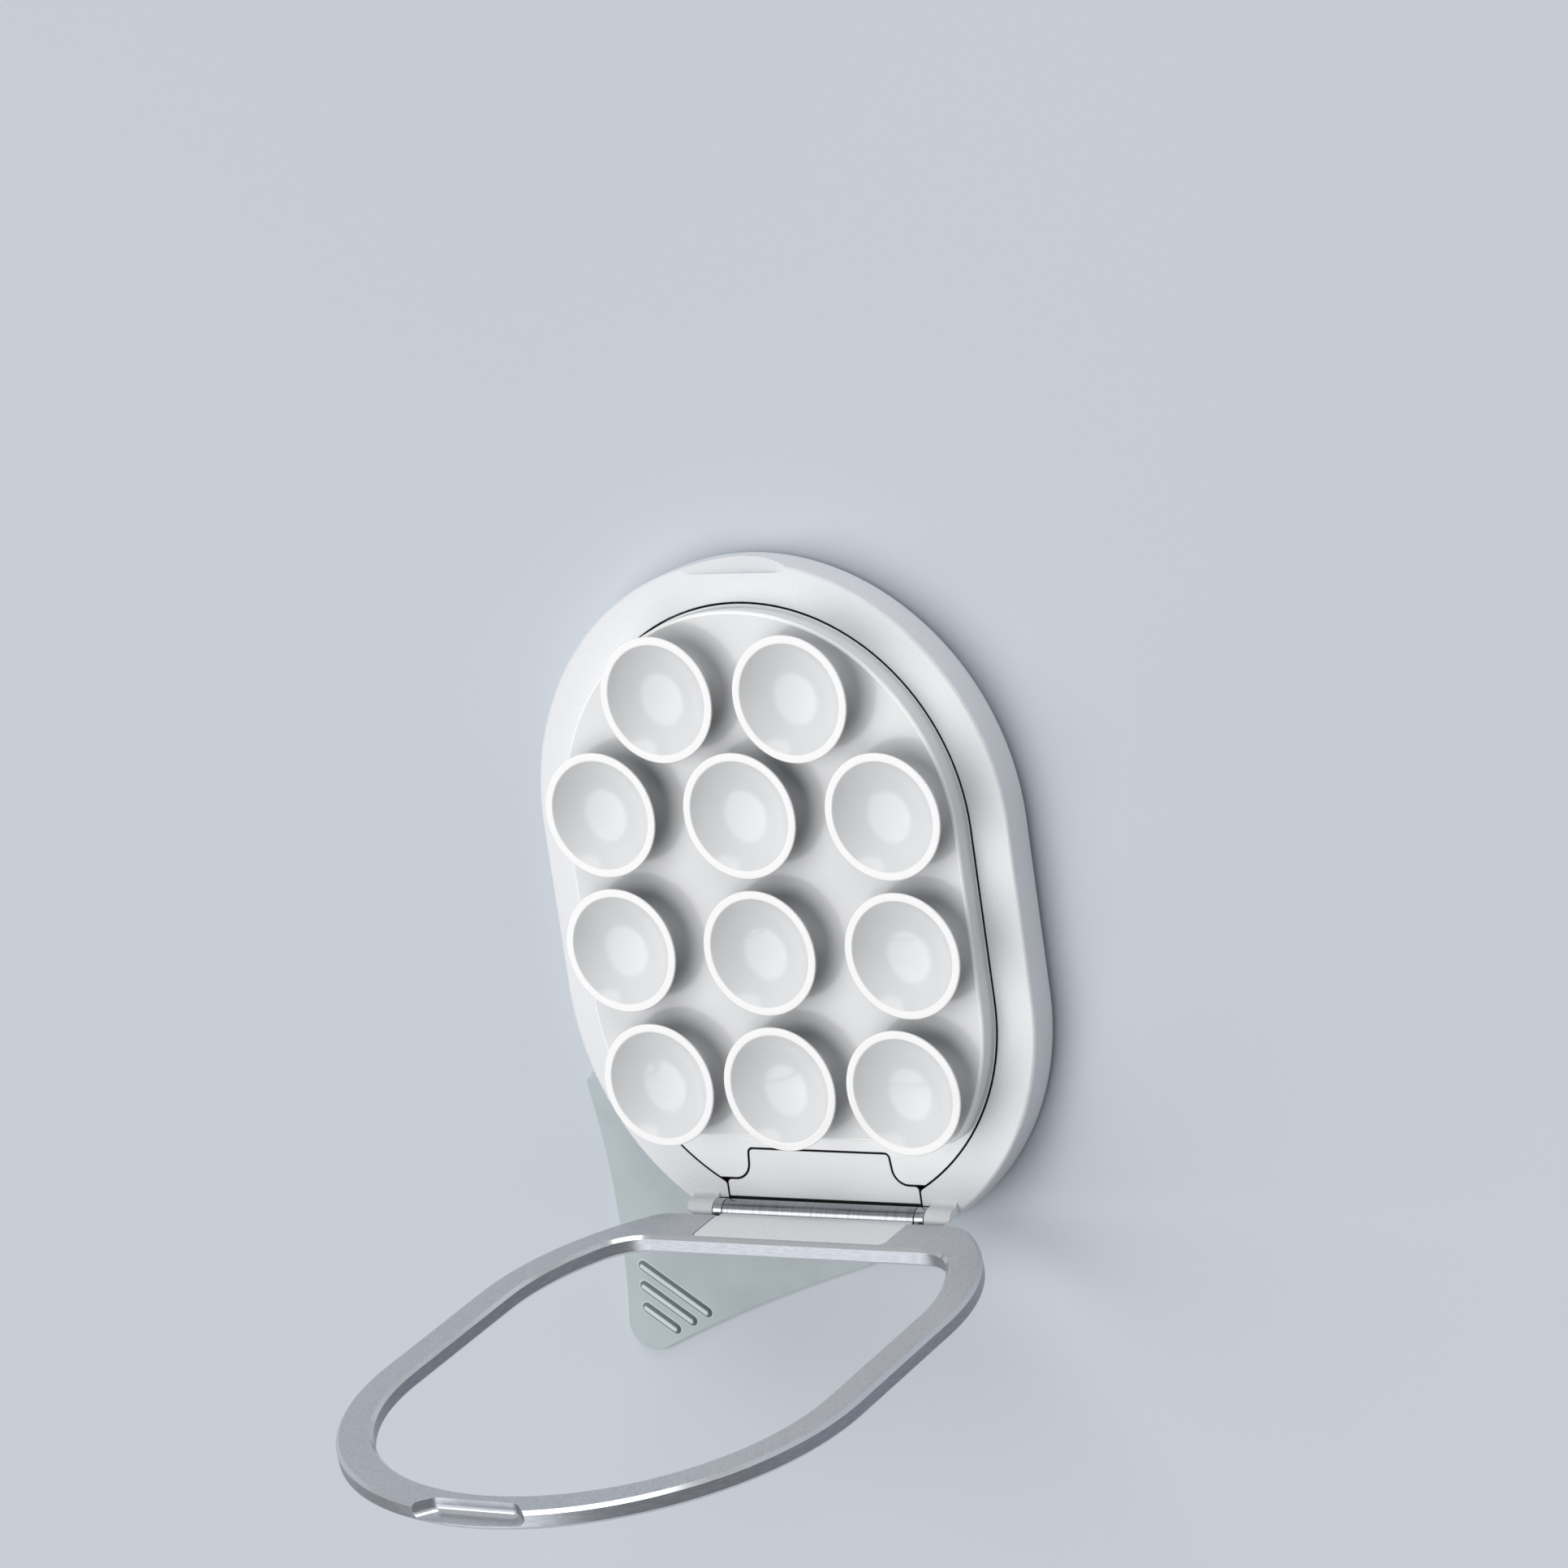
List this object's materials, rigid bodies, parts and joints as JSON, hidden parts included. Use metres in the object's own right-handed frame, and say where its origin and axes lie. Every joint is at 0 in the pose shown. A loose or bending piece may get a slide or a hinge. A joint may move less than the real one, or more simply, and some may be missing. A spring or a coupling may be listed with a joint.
{
  "type": "suction cup phone mount",
  "caption": "Oblong adhesive-backed phone mount with small suction cups over its face and a flat ring of the same outline hinged at one end as a folding kickstand.",
  "frame": {"origin": "middle of the body outline, on the plane that sticks to the phone", "axes": "+X along the stand's hinge, +Y along the body away from the hinge, +Z out of the suction cups"},
  "size_m": [0.0567, 0.086, 0.0728],
  "materials": {
    "frame": "satin silver-white with fine grain",
    "carrier": "satin silver-white with fine grain",
    "silicone": "soft white silicone with a slight sheen",
    "cover": "satin light grey",
    "hinge_steel": "bright rolled steel",
    "screw_steel": "plain steel",
    "adhesive": "soft frosted grey-green gel",
    "ring": "fine blasted with bright cut edges",
    "leaf": "satin metal"
  },
  "bodies": {
    "mount": {"frame": "frame", "pad_carrier": "carrier", "suction_pad": "silicone", "hinge_cover": "cover", "friction_clip_left": "hinge_steel", "friction_clip_right": "hinge_steel", "case_screws": "screw_steel", "adhesive_pad": "adhesive"},
    "kickstand": {"kickstand_ring": "ring", "hinge_leaf": "leaf", "hinge_pin": "hinge_steel"}
  },
  "joints": [
    {"name": "kickstand_hinge", "type": "hinge", "parent": "mount", "child": "kickstand", "pos_m": [0, -0.03175, 0.0052], "axis": [1, 0, 0], "range_deg": [-95, 85]}
  ]
}
